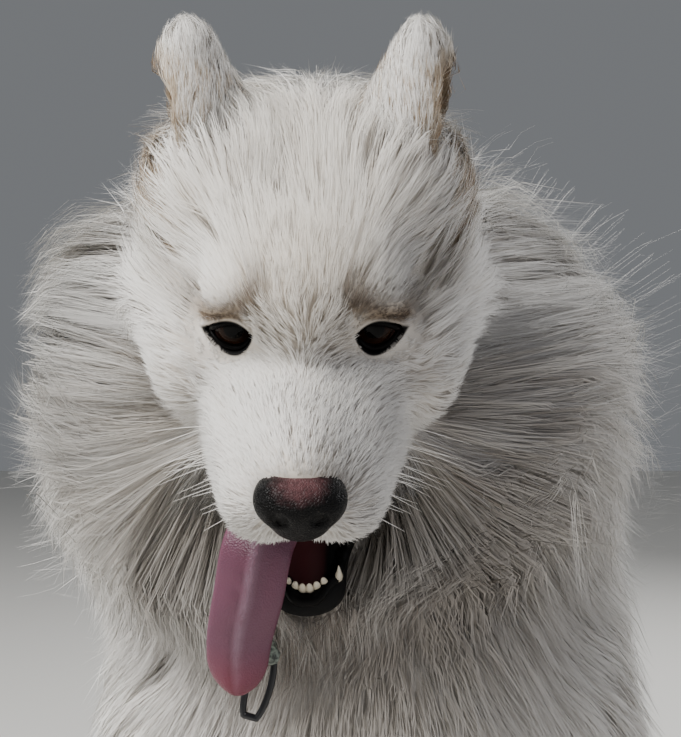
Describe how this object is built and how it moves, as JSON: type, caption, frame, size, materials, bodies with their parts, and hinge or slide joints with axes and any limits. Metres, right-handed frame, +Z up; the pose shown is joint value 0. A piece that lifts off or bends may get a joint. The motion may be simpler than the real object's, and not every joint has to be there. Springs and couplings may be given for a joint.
{
  "type": "seated samoyed dog model",
  "caption": "Still, life-size seated samoyed with head lowered, mouth open, tongue out and tail curled over the back.",
  "frame": {"origin": "on the floor, under the middle of the whole dog's box", "axes": "+Z up, the dog faces -Y, its left side is +X"},
  "size_m": [0.3896, 0.7638, 0.7814],
  "materials": {
    "coat": "long cream-white coat",
    "nose_leather": "moist pebbled nose leather, brown-black",
    "tongue": "moist mauve-pink tongue",
    "eye": "dark brown glossy eye",
    "collar_ring": "black lacquered ring with a mottled barrel"
  },
  "bodies": {
    "root": {"head": "coat", "jaw": "coat", "nose": "nose_leather", "tongue": "tongue", "eye_left": "eye", "eye_right": "eye", "ear_left": "coat", "ear_right": "coat", "collar_loop": "collar_ring", "neck": "coat", "torso": "coat", "foreleg_left": "coat", "foreleg_right": "coat", "forepaw_left": "coat", "forepaw_right": "coat", "thigh_left": "coat", "thigh_right": "coat", "hind_foot_left": "coat", "hind_foot_right": "coat", "tail_base": "coat", "tail_middle": "coat", "tail_tip": "coat"}
  },
  "joints": []
}
